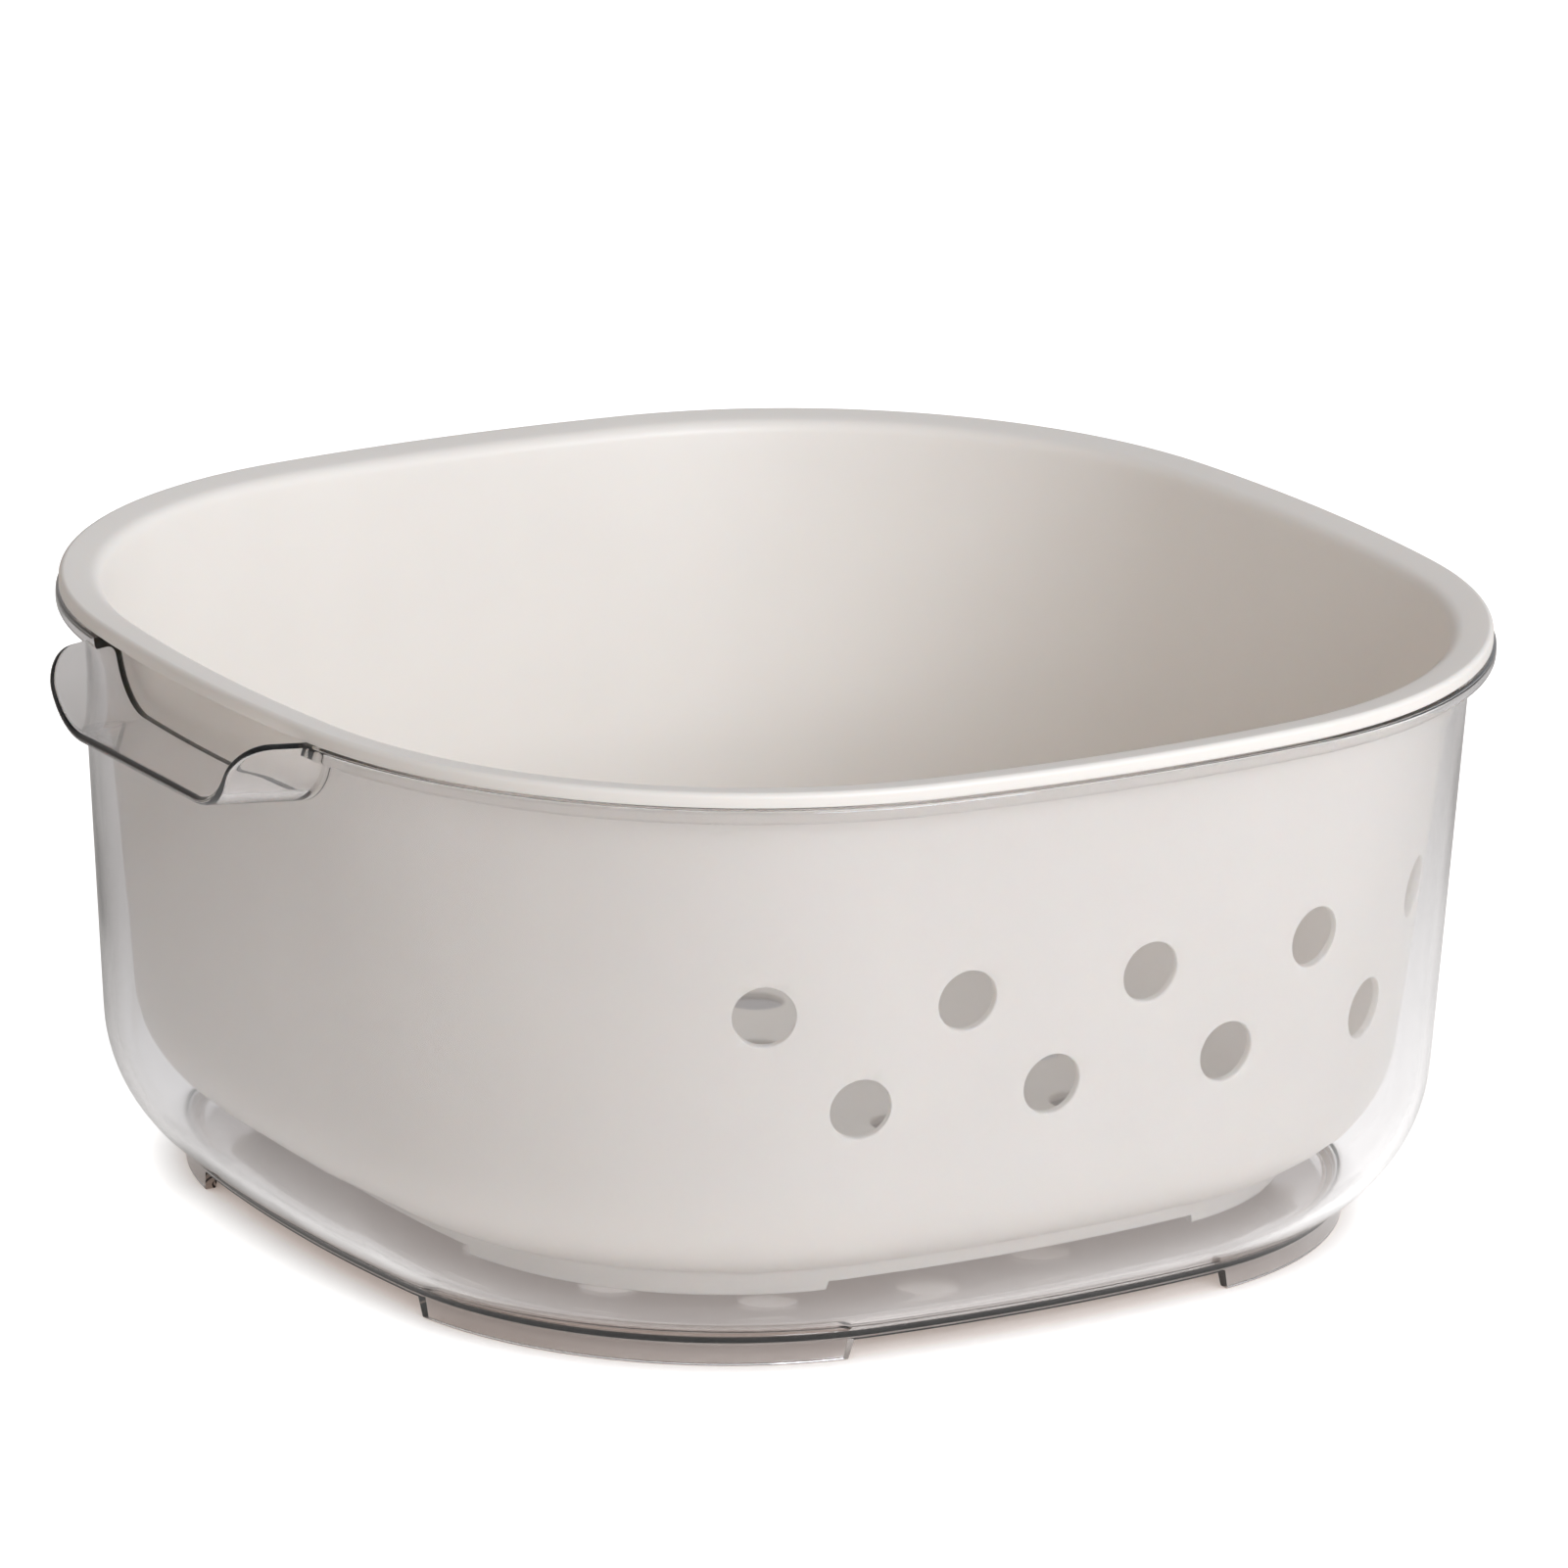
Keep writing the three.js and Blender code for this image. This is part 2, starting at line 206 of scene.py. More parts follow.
def bowl_body():
    section, centre = cup_start(bowl_outside, BOWL_DRAFT, BOWL_FLOOR, BOWL_RADIUS)
    under = LIP_TOP - LIP_THICKNESS
    fillet_foot = on_wall(bowl_outside, under - LIP_FILLET)
    section += line(section[-1], fillet_foot, 16)[1:]
    fillet_end = (bowl_outside(under) + LIP_FILLET, under)
    section += bend(fillet_foot, on_wall(bowl_outside, under), fillet_end, 6)
    edge = LIP_HALF - LIP_EDGE
    section += bend((edge, under), (LIP_HALF, under), (LIP_HALF, under + LIP_EDGE), 5)
    section += bend((LIP_HALF, LIP_TOP - LIP_EDGE), (LIP_HALF, LIP_TOP), (edge, LIP_TOP), 5)
    section.append(Vector((bowl_inside(LIP_TOP), LIP_TOP)))
    return loft("clear_bowl", section), centre


def bowl_cavity():
    section, _ = cup_start(bowl_inside, BOWL_DRAFT, BOWL_FLOOR + BOWL_WALL, BOWL_RADIUS - BOWL_WALL)
    low = on_wall(bowl_inside, LIP_TOP - LIP_LEAD_IN)
    mouth = bowl_inside(LIP_TOP) + LIP_LEAD_IN
    section += line(section[-1], low, 16)[1:]
    section += bend(low, on_wall(bowl_inside, LIP_TOP), (mouth, LIP_TOP), 8)
    section.append(Vector((mouth, LIP_TOP + OVERCUT)))
    return loft("bowl_cavity", section)


bowl, bowl_radius_centre = bowl_body()
print("bowl body", len(bowl.data.vertices), "points")

# %% [markdown]
# ## Feet under both floors
# Each moulding stands on a ring under its floor. The ring is cut away along every side, so water can
# run out from under it and four corner feet remain. The ring narrows downwards for the mould, its
# lower edges are rounded a little, and a fillet joins it to the floor: a moulding would crack at a
# sharp inner corner, and clear plastic would show it as a harder line.

# %% Foot rings
FOOT_DRAFT, FOOT_END_SLOPE, FOOT_EDGE, FOOT_ROOT, FOOT_FILLET = 0.08, 0.25, 0.4, 0.7, 1.2
SKIN = 0.05  # how deep the fillet's end dips into the floor that it joins


def foot_ring(name, outer, thickness, bottom, underside):
    inner = outer - thickness
    corner = underside(outer)
    top = corner + FOOT_ROOT
    section = line((inner - FOOT_DRAFT * (top - bottom), top), (inner, bottom + FOOT_EDGE), 1)
    section += bend((inner, bottom + FOOT_EDGE), (inner, bottom), (inner + FOOT_EDGE, bottom), 4)
    section += bend((outer - FOOT_EDGE, bottom), (outer, bottom), (outer, bottom + FOOT_EDGE), 4)
    flank = [(outer + FOOT_DRAFT * (h - bottom), h) for h in (corner - FOOT_FILLET, corner)]
    spread = outer + FOOT_FILLET
    section += bend(*flank, (spread, underside(spread) + SKIN), 6)
    return loft(name, section, is_ring=True)


def prism(name, profile, start, end, along_x):
    points = []
    for place in (start, end):
        points += [(place + AXIS_X, p, h) if along_x else (p + AXIS_X, place, h) for p, h in profile]
    count = len(profile)
    sides = [(i, (i + 1) % count, (i + 1) % count + count, i + count) for i in range(count)]
    caps = [tuple(range(count))[::-1], tuple(range(count, 2 * count))]
    faces = sides + caps
    return new_object(name, points, faces if along_x else [face[::-1] for face in faces])


def cut_feet(ring, outer, bottom, gap, step):
    low = gap / 2 + FOOT_END_SLOPE * OVERCUT
    high = gap / 2 - FOOT_END_SLOPE * step
    start, end = bottom - OVERCUT, bottom + step
    profile = [(-low, start), (low, start), (high, end), (-high, end)]
    reach = outer + OVERCUT
    for along_x in (True, False):
        combine(ring, prism("foot_cut", profile, -reach, reach, along_x), "DIFFERENCE")


def add_feet(target, centre, radius, wall_half, inset, thickness, bottom, gap, step):
    def underside(half):
        return centre.y - math.sqrt(radius**2 - (half - centre.x) ** 2)

    outer = wall_half - inset
    ring = foot_ring("feet", outer, thickness, bottom, underside)
    cut_feet(ring, outer, bottom, gap, step)
    combine(target, ring, "UNION")


add_feet(
    bowl, bowl_radius_centre, BOWL_RADIUS, bowl_outside(bowl_radius_centre.y),
    inset=15.9, thickness=2.3, bottom=0, gap=83, step=3.9,
)

# %% [markdown]
# ## The grip ear's shape
# One side of the bowl is opened by a tray that runs out through wall and lip: fingers reach under the
# basket's rim there, and the bowl pours over it. The tray is a bent sheet with leaning ends, and it
# widens towards the wall. It is described by stations along its U shape.

# %% Ear stations
EAR_REACH, EAR_DROP, EAR_FLOOR_HALF, EAR_FLARE = 10, 12.6, 21.5, 5.5
EAR_FILLET, EAR_LEAN, EAR_WALL, EAR_CORNER = 12, 0.4, 1.6, 6.5
FREE_EDGE = LIP_HALF + EAR_REACH
EAR_FLOOR = LIP_TOP - EAR_DROP


def ear_stations(top):
    """Half of the U from the middle of its floor: (along, height) and the way the sheet faces out."""
    stations = [(Vector((EAR_FLOOR_HALF * i / 8, EAR_FLOOR)), Vector((0, -1))) for i in range(8)]
    centre = Vector((EAR_FLOOR_HALF, EAR_FLOOR + EAR_FILLET))
    for i in range(21):
        turn = -QUARTER + (QUARTER - EAR_LEAN) * i / 20
        out = Vector((math.cos(turn), math.sin(turn)))
        stations.append((centre + EAR_FILLET * out, out))
    tangent, out = stations[-1]
    upward = Vector((math.tan(EAR_LEAN), 1))
    low = LIP_TOP - EAR_CORNER
    heights = [low + EAR_CORNER * math.sin(QUARTER * i / 12) for i in range(12)] + [top]
    stations += [(tangent + upward * (h - tangent.y), out) for h in heights if h > tangent.y]
    mirrored = [(Vector((-p.x, p.y)), Vector((-o.x, o.y))) for p, o in stations[:0:-1]]
    return mirrored + stations


def flared(x, along):
    spread = EAR_FLARE / (FREE_EDGE - bowl_inside(EAR_FLOOR))
    side = max(-1, min(along / EAR_FLOOR_HALF, 1))
    return along + side * spread * (FREE_EDGE + x)


def free_edge(height):
    over = max(height - (LIP_TOP - EAR_CORNER), 0)
    return -FREE_EDGE + EAR_CORNER - math.sqrt(max(EAR_CORNER**2 - over**2, 0))


def stations_to_mesh(name, loops):
    count = len(loops[0])
    points = [point for loop in loops for point in loop]
    faces = [tuple(range(count)), tuple(range(len(points) - count, len(points)))[::-1]]
    for s in range(len(loops) - 1):
        for i in range(count):
            j = (i + 1) % count
            faces.append((s * count + i, (s + 1) * count + i, (s + 1) * count + j, s * count + j))
    return new_object(name, points, faces)


print("stations along the ear:", len(ear_stations(LIP_TOP)))

# %% [markdown]
# ## The ear's sheet
# At each station the sheet runs from inside the wall to a free edge, which is a half round because
# fingers touch it. The sheet is joined to the bowl before the cavity is cut, so that the cavity trims
# what reaches inside.

# %% Ear sheet
def ear_sheet():
    start = -bowl_inside(LIP_TOP) + EAR_WALL + OVERCUT
    loops = []
    for place, out in ear_stations(LIP_TOP):
        loop = []
        edge = free_edge(place.y) + EAR_WALL / 2
        for i in range(13):
            turn = math.pi * i / 12
            depth = EAR_WALL / 2 * (1 - math.cos(turn))
            spot = place + depth * out
            x = edge - EAR_WALL / 2 * math.sin(turn)
            loop.append((x + AXIS_X, flared(x, spot.x), min(spot.y, LIP_TOP)))
        brace = edge + EAR_WALL / 2
        for x, depth in ((brace, EAR_WALL), (start, EAR_WALL), (start, 0), (brace, 0)):
            spot = place + depth * out
            loop.append((x + AXIS_X, flared(x, spot.x), min(spot.y, LIP_TOP)))
        loops.append(loop)
    return stations_to_mesh("ear_sheet", loops)


combine(bowl, ear_sheet(), "UNION")
combine(bowl, bowl_cavity(), "DIFFERENCE")

# %% [markdown]
# ## The ear's opening
# The opening follows the upper face of the sheet and goes through wall and lip. Where the tray turns
# down into the bowl the cut swells in a quarter round, so that water and fingers meet no sharp edge.

# %% Ear opening
HAIR = 0.01  # keeps the opening's face off the sheet's own face
EAR_ROUND = 1.4  # where the tray turns down into the bowl


def inner_face(along, height):
    """Where the bowl's inner face stands behind a point of the ear."""
    radius = bowl_inside(height) - CORNER_INSET + SIDE_RUN
    return SIDE_RUN - CORNER_INSET - math.sqrt(radius**2 - along**2)


def ear_opening():
    start = -bowl_inside(LIP_TOP) + EAR_WALL + 2 * OVERCUT
    end = -FREE_EDGE - OVERCUT
    turns = [QUARTER * i / 8 for i in range(9)]
    loops = []
    for place, out in ear_stations(LIP_TOP + OVERCUT):
        face = inner_face(flared(-bowl_inside(place.y), place.x), min(place.y, LIP_TOP))
        slices = [(start, EAR_ROUND)]
        for t in turns:
            swell = EAR_ROUND - EAR_ROUND * math.sin(t)
            slices.append((face - EAR_ROUND + EAR_ROUND * math.cos(t), swell))
        slices.append((end, 0))
        loop = []
        for x, swell in slices:
            spot = place + (swell - HAIR) * out
            loop.append((x + AXIS_X, flared(x, spot.x), spot.y))
        loops.append(loop)
    return stations_to_mesh("ear_opening", [list(ring) for ring in zip(*loops)])


combine(bowl, ear_opening(), "DIFFERENCE")

# %% [markdown]
# ## The basket's body
# The basket hangs in the bowl by a flanged rim. The flange rises a little to its crest, and a short
# skirt turns down from it and seats on the lip. The crest is what catches the light along the whole
# rim, so it is a true arc and not a broken edge.

# %% Basket body
SIDE_GAP, SEAT_GAP, RIM_INSET, RIM_HEIGHT = 0.7, 0.3, 0.6, 2.8
RIM_CREST, RIM_SLOPE, RIM_THICKNESS, RIM_FILLET = 1, 0.13, 1.7, 2.4
SKIRT_THICKNESS, SKIRT_EDGE = 1.9, 0.4
BASKET_WALL, BASKET_DRAFT, BASKET_RADIUS, BASKET_CLEARANCE = 1.7, 0.115, 25, 5.8
BASKET_FOOT_HEIGHT = 4.5
BASKET_FOOT = BOWL_FLOOR + BOWL_WALL + BASKET_CLEARANCE
BASKET_FLOOR = BASKET_FOOT + BASKET_FOOT_HEIGHT


def basket_outside(height):
    return bowl_inside(LIP_TOP) - SIDE_GAP + BASKET_DRAFT * (height - LIP_TOP)


def basket_inside(height):
    return basket_outside(height) - BASKET_WALL * math.hypot(1, BASKET_DRAFT)


def flange_meets(wall, point):
    slope = math.tan(RIM_SLOPE)
    return (point.y + slope * (wall(0) - point.x)) / (1 - slope * BASKET_DRAFT)


def basket_body():
    rim, skirt = LIP_HALF - RIM_INSET, LIP_TOP + SEAT_GAP
    inner = rim - SKIRT_THICKNESS
    crest = Vector((rim - RIM_CREST, skirt + RIM_HEIGHT - RIM_CREST))
    along = Vector((math.cos(RIM_SLOPE), math.sin(RIM_SLOPE)))
    across = Vector((-along.y, along.x))
    over, under = crest + RIM_CREST * across, crest + (RIM_CREST - RIM_THICKNESS) * across
    low, high = flange_meets(basket_outside, under), flange_meets(basket_inside, over)
    outer_bend = Vector(on_wall(basket_outside, low))
    inner_bend = Vector(on_wall(basket_inside, high))

    section, centre = cup_start(basket_outside, BASKET_DRAFT, BASKET_FLOOR, BASKET_RADIUS)
    wall_top = on_wall(basket_outside, low - RIM_FILLET)
    section += line(section[-1], wall_top, 18)[1:]
    section += bend(wall_top, outer_bend, outer_bend + RIM_FILLET * along, 8)
    section.append(Vector((inner, under.y + math.tan(RIM_SLOPE) * (inner - under.x))))
    section += bend((inner, skirt + SKIRT_EDGE), (inner, skirt), (inner + SKIRT_EDGE, skirt), 3)
    section += bend((rim - SKIRT_EDGE, skirt), (rim, skirt), (rim, skirt + SKIRT_EDGE), 3)
    section += arc(crest, RIM_CREST, 0, QUARTER + RIM_SLOPE, 14)
    wall_top = on_wall(basket_inside, high - RIM_FILLET)
    flange_foot = inner_bend + RIM_FILLET * along
    section += line(section[-1], flange_foot, 4)[1:]
    section += bend(flange_foot, inner_bend, wall_top, 8)
    inner_floor, inner_radius = BASKET_FLOOR + BASKET_WALL, BASKET_RADIUS - BASKET_WALL
    inside, _ = cup_start(basket_inside, BASKET_DRAFT, inner_floor, inner_radius)
    section += line(wall_top, inside[-1], 18)[1:] + inside[::-1]
    return loft("draining_basket", section), centre


basket, basket_radius_centre = basket_body()
add_feet(
    basket, basket_radius_centre, BASKET_RADIUS, basket_outside(basket_radius_centre.y),
    inset=20.4, thickness=2, bottom=BASKET_FOOT, gap=80, step=1.8,
)

# %% [markdown]
# ## A cutter for drain holes
# Round pins in the mould leave the holes. A moulded hole has a slightly rounded rim on both faces.
# Each cutter is therefore a turned shape, a cylinder that opens like a trumpet where it leaves the
# wall.

# %% Drain cutter
DRAIN_RADIUS, DRAIN_EDGE, DRAIN_SIDES = 5.8, 0.45, 40


def drain_profile():
    edge = arc((DRAIN_RADIUS + DRAIN_EDGE, -DRAIN_EDGE), DRAIN_EDGE, math.pi, QUARTER, 5)
    trumpet = [Vector((DRAIN_RADIUS + 2 * DRAIN_EDGE, DRAIN_EDGE))]
    outer = edge + trumpet
    inner = [Vector((p.x, -BASKET_WALL - p.y)) for p in outer[::-1]]
    return inner + outer


def drain_cutters(places):
    points, faces = [], []
    profile = drain_profile()
    for place, facing in places:
        first = len(points)
        turn = facing.to_track_quat("Z", "Y")
        for radius, depth in profile:
            for i in range(DRAIN_SIDES):
                angle = 2 * math.pi * i / DRAIN_SIDES
                spot = Vector((radius * math.cos(angle), radius * math.sin(angle), depth))
                points.append(place + turn @ spot)
        for level in range(len(profile) - 1):
            for i in range(DRAIN_SIDES):
                j = (i + 1) % DRAIN_SIDES
                a, b = first + level * DRAIN_SIDES, first + (level + 1) * DRAIN_SIDES
                faces.append((a + i, a + j, b + j, b + i))
        last = first + (len(profile) - 1) * DRAIN_SIDES
        faces.append(tuple(range(first, first + DRAIN_SIDES))[::-1])
        faces.append(tuple(range(last, last + DRAIN_SIDES)))
    return new_object("drain_cutters", points, faces)


print("points in one cutter:", DRAIN_SIDES * len(drain_profile()))

# %% [markdown]
# ## Where the holes go
# One wall has a zigzag of two rows, and the floor has rings of the same holes. Water then runs off
# whether the basket stands or is tipped towards its pierced wall. The wall holes are spaced along the
# curved wall and face the way it faces.

# %% Drain holes
DRAIN_COUNT, DRAIN_STEP, DRAIN_CENTRE, DRAIN_MIDDLE, DRAIN_ROWS = 9, 19.3, 11, 51.3, 19
FLOOR_DRAIN_PITCH, FLOOR_DRAIN_RINGS = 30, 2


def wall_drains():
    places = []
    for i in range(DRAIN_COUNT):
        height = LIP_TOP - DRAIN_MIDDLE + (DRAIN_ROWS / 2 if i % 2 == 0 else -DRAIN_ROWS / 2)
        along = DRAIN_CENTRE + DRAIN_STEP * (i - (DRAIN_COUNT - 1) / 2)
        half = basket_outside(height)
        corner = half - CORNER_INSET
        side = (corner + SIDE_RUN) * SIDE_BULGE
        turn = min(abs(along), side) / (corner + SIDE_RUN) + max(abs(along) - side, 0) / corner
        direction = math.copysign(turn, along) - QUARTER
        facing = Vector((math.cos(direction), math.sin(direction), -BASKET_DRAFT)).normalized()
        places.append((Vector((*outline_point(half, direction), height)), facing))
    return places


def floor_drains():
    places = []
    for ring in range(FLOOR_DRAIN_RINGS + 1):
        count = max(6 * ring, 1)
        for i in range(count):
            turn = 2 * math.pi * i / count
            radius = ring * FLOOR_DRAIN_PITCH
            spot = Vector((AXIS_X + radius * math.cos(turn), radius * math.sin(turn), BASKET_FLOOR))
            places.append((spot, Vector((0, 0, -1))))
    return places


combine(basket, drain_cutters(wall_drains() + floor_drains()), "DIFFERENCE")

# %% [markdown]
# ## Take the places of the CAD pieces
# Both new pieces move with the bodies of the CAD pieces that they stand for. Faces are shaded smooth,
# except across edges that turn sharply, so the corners of cuts stay crisp.

# %% Ride and shade
SHARP = math.radians(32)
for piece, body, node, slot in (
    (bowl, "bowl", "outer_bowl", "clear_plastic"),
    (basket, "basket", "colander_basket", "cream_plastic"),
):
    piece.data.shade_smooth()
    piece.data.set_sharp_from_angle(angle=SHARP)
    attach(piece, body)
    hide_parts(node)
    print(piece.name, "stands for", node)

# %% [markdown]
# ## Colours and nodes
# Colours are written as the sRGB hex codes that a colour picker shows, and one function turns them
# into the linear values that a shader needs. A second function adds a node, with its settings and the
# links into it.

# %% Colour and node helpers
def srgb(code, alpha=1):
    channels = [int(code[i : i + 2], 16) / 255 for i in (1, 3, 5)]
    linear = [c / 12.92 if c <= 0.04045 else ((c + 0.055) / 1.055) ** 2.4 for c in channels]
    return (*linear, alpha)


def add(tree, kind, inputs=None, **settings):
    made = tree.nodes.new(kind)
    for name, value in settings.items():
        setattr(made, name, value)
    for name, value in (inputs or {}).items():
        if isinstance(value, bpy.types.NodeSocket):
            tree.links.new(value, made.inputs[name])
        else:
            made.inputs[name].default_value = value
    return made


def new_material(name):
    made = bpy.data.materials.new(name)
    made.use_nodes = True
    made.node_tree.nodes.clear()
    return made, made.node_tree


def per_metre(millimetres):
    return 1 / (millimetres * MM)


# %% [markdown]
# ## Satin polypropylene, for the basket
# The basket is opaque warm-white polypropylene from a fine-grained mould. Soft clouds of two close
# creams stand for uneven pigment. The grain is about 0.15 mm wide, too fine to be seen by itself,
# and it spreads highlights into a broad soft sheen. A little light enters the plastic and leaves it
# a millimetre or two further on, warmer, which is why its shaded side looks warm.

# %% Satin polypropylene
satin_cream, tree = new_material("polypropylene_satin_moulded")
place = add(tree, "ShaderNodeTexCoord").outputs["Object"]
clouds = add(tree, "ShaderNodeTexNoise", {"Vector": place, "Scale": per_metre(45), "Detail": 3})
pigment = clouds.outputs["Fac"]
cream = add(tree, "ShaderNodeValToRGB", {"Fac": pigment})
cream.color_ramp.elements[0].position = 0.3
cream.color_ramp.elements[0].color = srgb("#E8E1D9")
cream.color_ramp.elements[1].position = 0.7
cream.color_ramp.elements[1].color = srgb("#EBE4DC")
polish = add(tree, "ShaderNodeMapRange", {"Value": pigment, "To Min": 0.36, "To Max": 0.46})
grain = add(tree, "ShaderNodeTexNoise", {"Vector": place, "Scale": per_metre(0.15), "Detail": 1})
skin = add(tree, "ShaderNodeBump", {
    "Height": grain.outputs["Fac"], "Strength": 0.015, "Distance": 0.05 * MM,
})
plastic = add(tree, "ShaderNodeBsdfPrincipled", {
    "Base Color": cream.outputs["Color"],
    "Roughness": polish.outputs["Result"],
    "Normal": skin.outputs["Normal"],
    "IOR": 1.49,
    "Subsurface Weight": 0.2,
    "Subsurface Radius": (1, 0.7, 0.5),
    "Subsurface Scale": 2 * MM,
})
add(tree, "ShaderNodeOutputMaterial", {"Surface": plastic.outputs["BSDF"]})
basket.data.materials.clear()
basket.data.materials.append(satin_cream)
print("basket:", satin_cream.name)

# %% [markdown]
# ## Clear styrene, for the bowl
# The bowl is a clear, slightly smoky styrene from a polished mould. It bends and mirrors light like
# glass, so its thick edges go dark where they send the eye to a dark part of the room. Its own tint
# shows only where the eye looks along a wall, through centimetres of plastic. Flow in the mould
# leaves faint waves a few centimetres long, which make reflections wander a little.

# %% Clear styrene
clear_styrene, tree = new_material("styrene_clear_polished")
place = add(tree, "ShaderNodeTexCoord").outputs["Object"]
flow = add(tree, "ShaderNodeTexNoise", {"Vector": place, "Scale": per_metre(38), "Detail": 1})
waves = add(tree, "ShaderNodeBump", {
    "Height": flow.outputs["Fac"], "Strength": 0.3, "Distance": 0.4 * MM,
})
haze = add(tree, "ShaderNodeMapRange", {
    "Value": flow.outputs["Fac"], "To Min": 0.015, "To Max": 0.05,
})
plastic = add(tree, "ShaderNodeBsdfPrincipled", {
    "Base Color": srgb("#FEFEFF"),
    "Roughness": haze.outputs["Result"],
    "Normal": waves.outputs["Normal"],
    "IOR": 1.56,
    "Transmission Weight": 1,
})
smoke = add(tree, "ShaderNodeVolumeAbsorption", {"Color": srgb("#988878"), "Density": 12})
add(tree, "ShaderNodeOutputMaterial", {
    "Surface": plastic.outputs["BSDF"], "Volume": smoke.outputs["Volume"],
})
bowl.data.materials.clear()
bowl.data.materials.append(clear_styrene)
print("bowl:", clear_styrene.name)

# %% [markdown]
# ## A white table
# The table is a plain pale sheet of paper. Rays that come from the camera, a mirror or clear plastic
# also see it glow, so that it joins the white background. Right under the object the glow is weak,
# a painted contact shadow, and tinted warm as painted bounce light off the cream basket. For mirrors
# and clear plastic it fades towards the back as a painted shadow, where the object would keep the
# lamps off the paper.

# %% Table
TABLE_HALF = 6e3
# painted shadow: the table's glow for mirrors and clear plastic fades along BACKWARDS
BACKWARDS = (0.3, 0.95, 0)  # away from the lamp
CONTACT = 8.5  # how near the object has to be to shade the paper's glow
corners = [(-1, -1), (1, -1), (1, 1), (-1, 1)]
table = new_object("table", [(x * TABLE_HALF, y * TABLE_HALF, 0) for x, y in corners], [(0, 1, 2, 3)])


def arithmetic(tree, operation, first, second):
    return add(tree, "ShaderNodeMath", {0: first, 1: second}, operation=operation).outputs[0]


white_sheet, tree = new_material("paper_matt_white")
fibre = add(tree, "ShaderNodeTexNoise", {"Scale": per_metre(2)})
paper = add(tree, "ShaderNodeValToRGB", {"Fac": fibre.outputs["Fac"]})
paper.color_ramp.elements[0].color = srgb("#CBC5BF")
paper.color_ramp.elements[1].color = srgb("#D1CBC6")
sheet = add(tree, "ShaderNodeBsdfDiffuse", {"Color": paper.outputs["Color"]})
spot = add(tree, "ShaderNodeTexCoord").outputs["Object"]
behind = add(tree, "ShaderNodeVectorMath", {0: spot, 1: BACKWARDS}, operation="DOT_PRODUCT")
# painted shadow: the glow is full in front of the object and dims behind it
painted_shadow_fade = add(tree, "ShaderNodeMapRange", {
    "Value": behind.outputs["Value"],
    "From Min": -0.12, "From Max": 0.18, "To Min": 1, "To Max": 0.16,
})
rays = add(tree, "ShaderNodeLightPath").outputs
mirrored = arithmetic(tree, "MAXIMUM", rays["Is Glossy Ray"], rays["Is Transmission Ray"])
glow_with_painted_shadow = arithmetic(tree, "MULTIPLY", mirrored, painted_shadow_fade.outputs["Result"])
seen = arithmetic(tree, "MAXIMUM", rays["Is Camera Ray"], glow_with_painted_shadow)
# painted contact shadow: the glow dims near the object, read from ambient occlusion
nearness = add(tree, "ShaderNodeAmbientOcclusion", {"Distance": CONTACT * MM}, samples=8)
shade = add(tree, "ShaderNodeMapRange", {"Value": nearness.outputs["AO"], "To Min": 0.18})
# painted bounce light: where the glow is dimmed it is tinted warm, like light off the cream basket
painted_bounce_warmth = add(tree, "ShaderNodeValToRGB", {"Fac": nearness.outputs["AO"]})
painted_bounce_warmth.color_ramp.elements[0].position = 0.1
painted_bounce_warmth.color_ramp.elements[0].color = srgb("#F0D6C8")
painted_bounce_warmth.color_ramp.elements[1].position = 0.5
painted_bounce_warmth.color_ramp.elements[1].color = srgb("#FFFFFF")
glow = add(tree, "ShaderNodeEmission", {
    "Color": painted_bounce_warmth.outputs["Color"],
    "Strength": arithmetic(tree, "MULTIPLY", seen, shade.outputs["Result"]),
})
both = add(tree, "ShaderNodeAddShader", {0: sheet.outputs["BSDF"], 1: glow.outputs["Emission"]})
add(tree, "ShaderNodeOutputMaterial", {"Surface": both.outputs["Shader"]})
table.data.materials.append(white_sheet)
print("table:", white_sheet.name)

# %% [markdown]
# ## The room
# The room is a band of light around the object. It is strongest and coolest at the front right, and
# dimmer and warmer behind the ear, so the clear wall has a darker edge there and reads as plastic.
# The ceiling is dim: a basket lit from above would have a floor as bright as its wall, and the drain
# holes would be lost. The camera itself sees plain white.

# %% Room
BRIGHT_SIDE = (0.45, -0.55, 0.3)
room = bpy.data.worlds.new("studio_room")
room.use_nodes = True
bpy.context.scene.world = room
tree = room.node_tree
tree.nodes.clear()
looking = add(tree, "ShaderNodeTexCoord").outputs["Generated"]
towards = add(tree, "ShaderNodeVectorMath", {0: looking, 1: BRIGHT_SIDE}, operation="DOT_PRODUCT")
sides = add(tree, "ShaderNodeMapRange", {
    "Value": towards.outputs["Value"],
    "From Min": -0.6, "From Max": 0.6, "To Min": 0.55, "To Max": 0.98,
})
height = add(tree, "ShaderNodeSeparateXYZ", {0: looking})
band = add(tree, "ShaderNodeMapRange", {
    "Value": height.outputs["Z"],
    "From Min": 0.5, "From Max": 0.85, "To Min": 1, "To Max": 0.34,
})
daylight = arithmetic(tree, "MULTIPLY", sides.outputs["Result"], band.outputs["Result"])
hue = add(tree, "ShaderNodeValToRGB", {"Fac": sides.outputs["Result"]})
hue.color_ramp.elements[0].position = 0.35
hue.color_ramp.elements[0].color = srgb("#EDD9C6")
hue.color_ramp.elements[1].position = 0.8
hue.color_ramp.elements[1].color = srgb("#F7FAFF")
from_camera = add(tree, "ShaderNodeLightPath").outputs["Is Camera Ray"]
tone = add(tree, "ShaderNodeMix", {
    "Factor": from_camera, "A": hue.outputs["Color"], "B": srgb("#FFFFFF"),
}, data_type="RGBA")
air = add(tree, "ShaderNodeBackground", {
    "Color": tone.outputs["Result"],
    "Strength": arithmetic(tree, "MAXIMUM", from_camera, daylight),
})
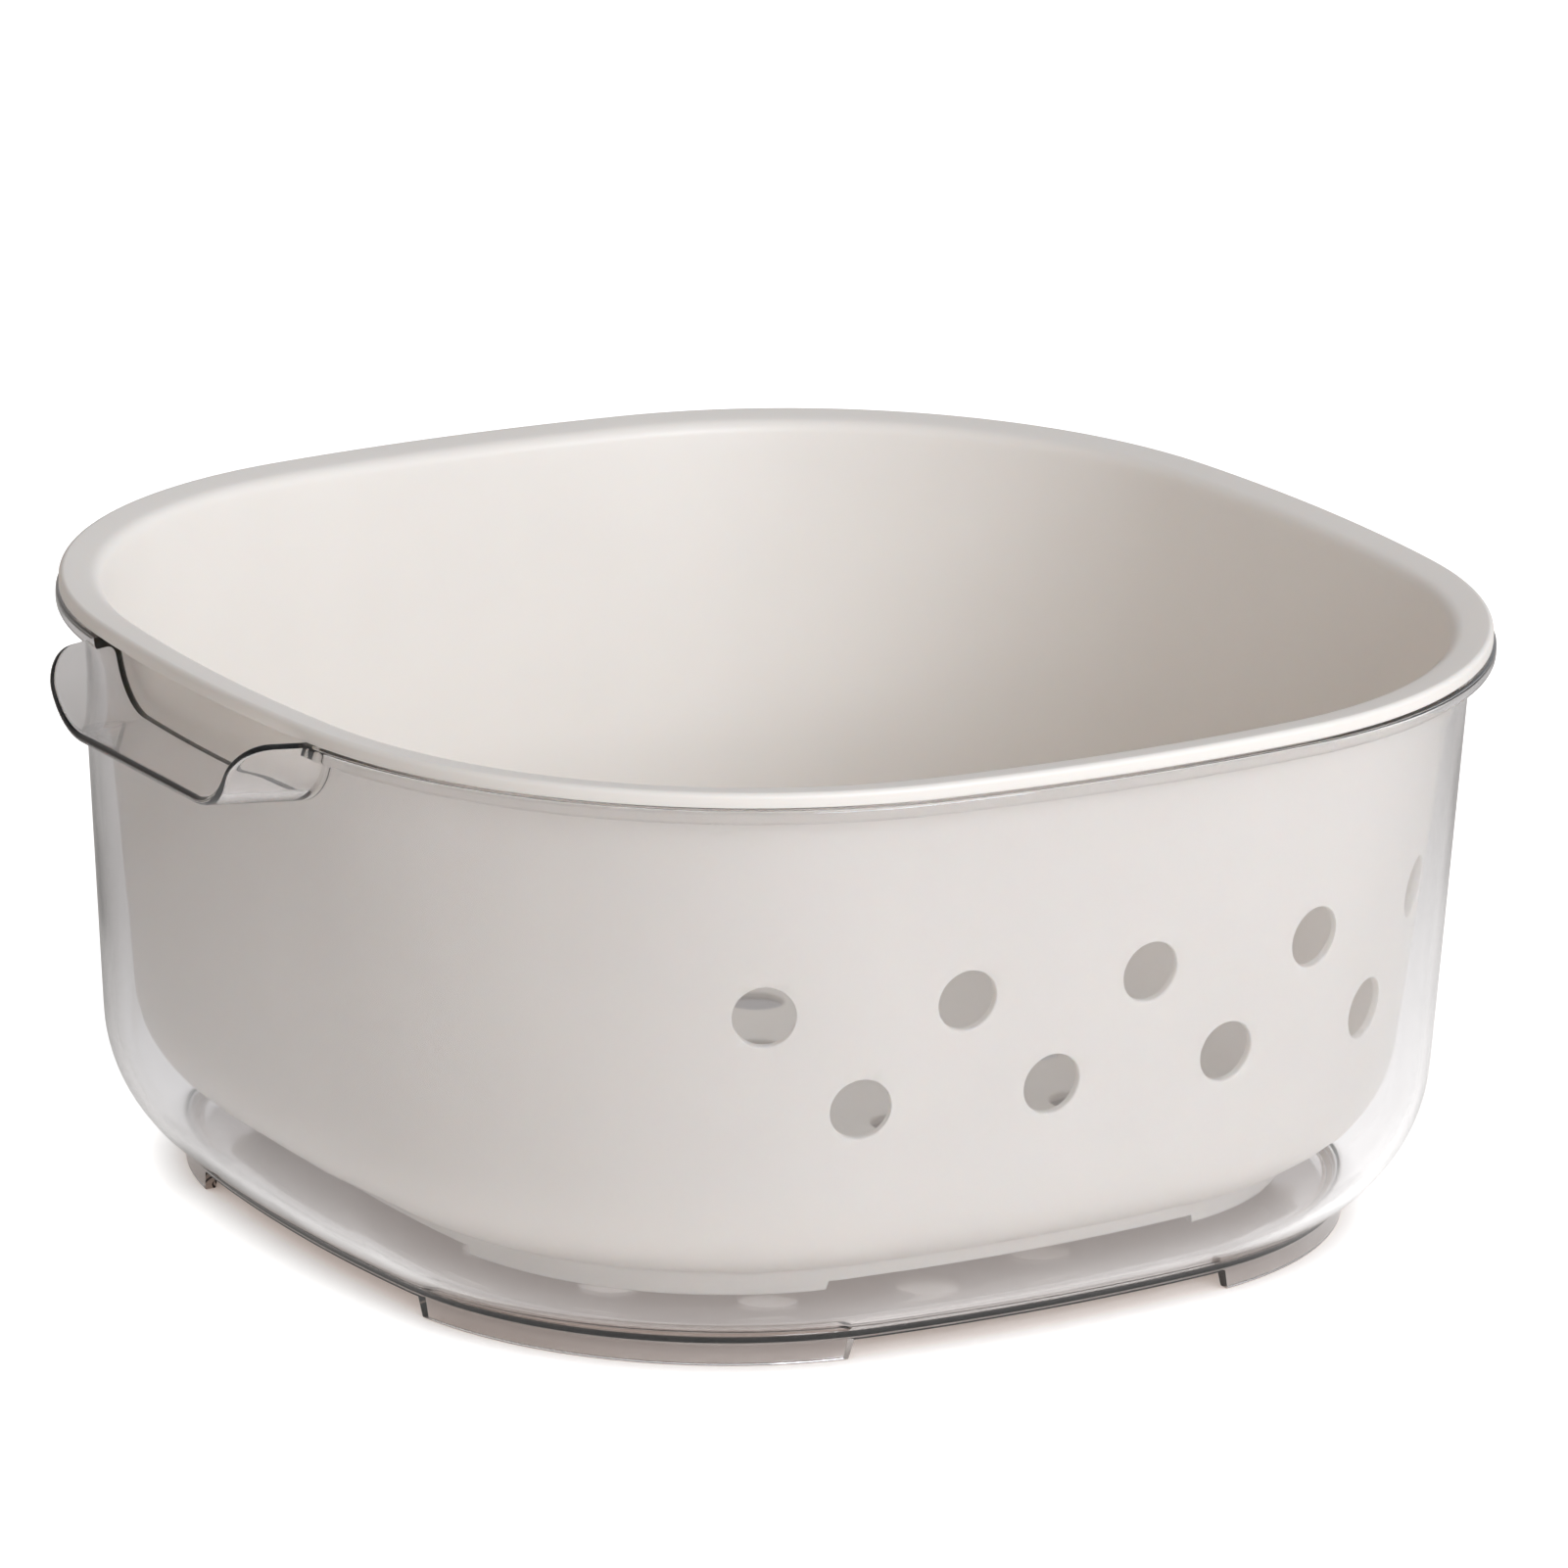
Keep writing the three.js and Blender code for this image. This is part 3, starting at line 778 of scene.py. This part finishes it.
add(tree, "ShaderNodeOutputWorld", {"Surface": air.outputs["Background"]})
print("room:", room.name)

# %% [markdown]
# ## One soft lamp
# One wide soft lamp stands in front, a little to the right and about 25 degrees up. It lights the
# pierced wall, and over the rim the inside of the wall across from it. The ear's side and most of
# the basket's floor stay in shade. A second lamp lower down would only burn out the rim's skirt.

# %% Lamp
KEY_PLACE, KEY_AIM = Vector((0.2, -1.68, 0.78)), Vector((0, 0, 0.08))
KEY_WIDTH, KEY_HEIGHT, KEY_WATTS = 1.1, 0.5, 21.5
soft_box = bpy.data.lights.new("key", "AREA")
soft_box.shape = "RECTANGLE"
soft_box.size, soft_box.size_y = KEY_WIDTH, KEY_HEIGHT
soft_box.energy = KEY_WATTS
soft_box.color = srgb("#F1F7FF")[:3]
key = bpy.data.objects.new("key", soft_box)
key.location = KEY_PLACE
key.rotation_euler = (KEY_AIM - KEY_PLACE).to_track_quat("-Z", "Y").to_euler()
bpy.context.collection.objects.link(key)
rise = math.degrees(math.asin((KEY_PLACE - KEY_AIM).normalized().z))
print("key lamp, degrees above the table:", round(rise, 1))

# %% [markdown]
# ## The camera
# A long lens far away keeps the rim's ellipse flat, as in a catalogue picture. Place, aim and roll
# come from fitting the rim, the walls and the feet to the photo.

# %% Camera
SENSOR, LENS = 36, 261.9  # millimetres
CAMERA_ROLL = math.radians(1.2253)
CAMERA_PLACE = Vector((-1.0836, -1.7548, 0.6949))
CAMERA_AIM = Vector((0.01067, 0.00392, 0.07577))
eye = bpy.data.cameras.new("camera")
eye.sensor_width = SENSOR
eye.lens = LENS
camera = bpy.data.objects.new("camera", eye)
bpy.context.collection.objects.link(camera)
camera.location = CAMERA_PLACE
gaze = CAMERA_AIM - CAMERA_PLACE
roll = Matrix.Rotation(CAMERA_ROLL, 3, "Z")
camera.rotation_euler = (gaze.to_track_quat("-Z", "Y").to_matrix() @ roll).to_euler()
bpy.context.scene.camera = camera
bpy.context.scene.view_settings.view_transform = "Standard"
print("camera at", tuple(camera.location))
